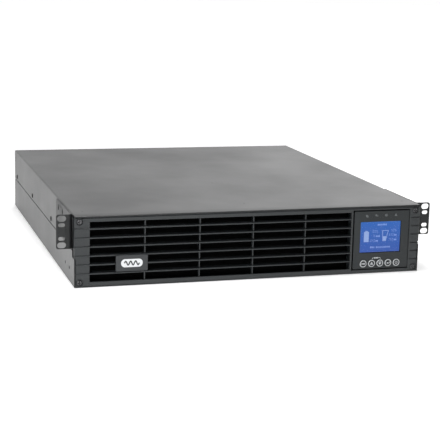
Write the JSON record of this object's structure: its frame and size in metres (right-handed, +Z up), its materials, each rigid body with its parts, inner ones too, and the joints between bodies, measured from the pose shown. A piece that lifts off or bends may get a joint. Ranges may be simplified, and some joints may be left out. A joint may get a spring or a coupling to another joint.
{
  "type": "rackmount ups",
  "caption": "Two-unit rackmount uninterruptible power supply with a louvred front bezel, a blue display with a row of keys, rack ears, a battery drawer, rear fans and outlets.",
  "frame": {"origin": "centre of the underside of the overall box, on the surface that the unit stands on", "axes": "+Z up, the front panel faces -Y, +X to the right as seen from the front"},
  "size_m": [0.478, 0.515, 0.0864],
  "materials": {
    "chassis_paint": "satin black powder coat",
    "galvanised_sheet": "plain zinc-plated sheet",
    "bezel_plastic": "fine moulded texture",
    "display_plastic": "satin moulded",
    "badge_plastic": "gloss",
    "filter_foam": "open-cell foam",
    "black_screws": "black oxide",
    "steel_screws": "zinc plated",
    "lcd_glass": "clear lens",
    "lcd_blue": "backlit liquid crystal",
    "light_pipe": "translucent",
    "key_rubber": "satin",
    "circuit_board": "solder mask",
    "aluminium": "extruded",
    "component_black": "epoxy",
    "capacitor_sleeve": "shrink sleeve",
    "ferrite": "sintered",
    "copper_winding": "enamelled wire",
    "fan_plastic": "moulded",
    "chrome_wire": "plated wire",
    "socket_plastic": "moulded",
    "breaker_button": "moulded",
    "connector_plastic": "moulded",
    "battery_case": "moulded",
    "battery_lid": "moulded",
    "lead_plates": "cast grids",
    "terminal": "tinned",
    "grip_plastic": "moulded"
  },
  "bodies": {
    "chassis": {"chassis_tray": "chassis_paint", "top_cover": "chassis_paint", "cover_screws": "black_screws", "rack_ear_left": "chassis_paint", "rack_ear_right": "chassis_paint", "ear_screws": "black_screws", "front_bulkhead": "galvanised_sheet", "drawer_guides": "galvanised_sheet", "battery_bay_wall": "galvanised_sheet", "middle_bulkhead": "galvanised_sheet", "battery_socket": "connector_plastic", "main_board": "circuit_board", "charger_board": "circuit_board", "board_standoffs": "steel_screws", "control_board": "circuit_board", "heat_sinks": "aluminium", "power_transistors": "component_black", "capacitors": "capacitor_sleeve", "chokes": "copper_winding", "transformer_cores": "ferrite", "transformer_windings": "copper_winding", "rear_panel": "chassis_paint", "fan_frames": "fan_plastic", "fan_guards": "chrome_wire", "rear_screws": "black_screws", "power_inlet": "socket_plastic", "output_sockets_upper": "socket_plastic", "output_sockets_lower": "socket_plastic", "breaker_bodies": "socket_plastic", "accessory_slot_cover": "chassis_paint", "communication_ports": "steel_screws", "external_battery_connector": "connector_plastic", "ground_screw": "steel_screws"},
    "battery_drawer": {"battery_tray": "galvanised_sheet", "drawer_grip": "grip_plastic", "drawer_screws": "steel_screws", "battery_cases": "battery_case", "battery_lids": "battery_lid", "battery_plate_groups": "lead_plates", "battery_terminals": "terminal", "battery_plug": "connector_plastic"},
    "bezel": {"front_bezel": "bezel_plastic", "badge_plate": "badge_plastic", "air_filter": "filter_foam", "bezel_screws": "black_screws"},
    "display": {"display_housing": "display_plastic", "lcd_window": "lcd_glass", "lcd_panel": "lcd_blue", "display_board": "circuit_board", "key_switches": "component_black", "light_pipes": "light_pipe"},
    "key_escape": {"button_escape": "key_rubber"},
    "key_up": {"button_up": "key_rubber"},
    "key_down": {"button_down": "key_rubber"},
    "key_enter": {"button_enter": "key_rubber"},
    "key_power": {"button_power": "key_rubber"},
    "fan_left": {"fan_rotor_left": "fan_plastic"},
    "fan_right": {"fan_rotor_right": "fan_plastic"},
    "breaker_input": {"breaker_button_input": "breaker_button"},
    "breaker_output": {"breaker_button_output": "breaker_button"}
  },
  "joints": [
    {"name": "battery_drawer_slide", "type": "slide", "parent": "chassis", "child": "battery_drawer", "axis": [0, -1, 0], "range_m": [0, 0.2]},
    {"name": "bezel_pull_off", "type": "slide", "parent": "battery_drawer", "child": "bezel", "axis": [0, -1, 0], "range_m": [0, 0.06]},
    {"name": "display_pull_out", "type": "slide", "parent": "bezel", "child": "display", "axis": [0, -1, 0], "range_m": [0, 0.018]},
    {"name": "press_escape", "type": "slide", "parent": "display", "child": "key_escape", "axis": [0, 1, 0], "range_m": [0, 0.0008], "stiffness_N_per_m": 500},
    {"name": "press_up", "type": "slide", "parent": "display", "child": "key_up", "axis": [0, 1, 0], "range_m": [0, 0.0008], "stiffness_N_per_m": 500},
    {"name": "press_down", "type": "slide", "parent": "display", "child": "key_down", "axis": [0, 1, 0], "range_m": [0, 0.0008], "stiffness_N_per_m": 500},
    {"name": "press_enter", "type": "slide", "parent": "display", "child": "key_enter", "axis": [0, 1, 0], "range_m": [0, 0.0008], "stiffness_N_per_m": 500},
    {"name": "press_power", "type": "slide", "parent": "display", "child": "key_power", "axis": [0, 1, 0], "range_m": [0, 0.0008], "stiffness_N_per_m": 500},
    {"name": "fan_left_spin", "type": "hinge", "parent": "chassis", "child": "fan_left", "pos_m": [-0.17, 0.2375, 0.0432], "axis": [0, 1, 0], "continuous": true},
    {"name": "fan_right_spin", "type": "hinge", "parent": "chassis", "child": "fan_right", "pos_m": [-0.088, 0.2375, 0.0432], "axis": [0, 1, 0], "continuous": true},
    {"name": "breaker_input_trip", "type": "slide", "parent": "chassis", "child": "breaker_input", "axis": [0, 1, 0], "range_m": [0, 0.004]},
    {"name": "breaker_output_trip", "type": "slide", "parent": "chassis", "child": "breaker_output", "axis": [0, 1, 0], "range_m": [0, 0.004]}
  ]
}
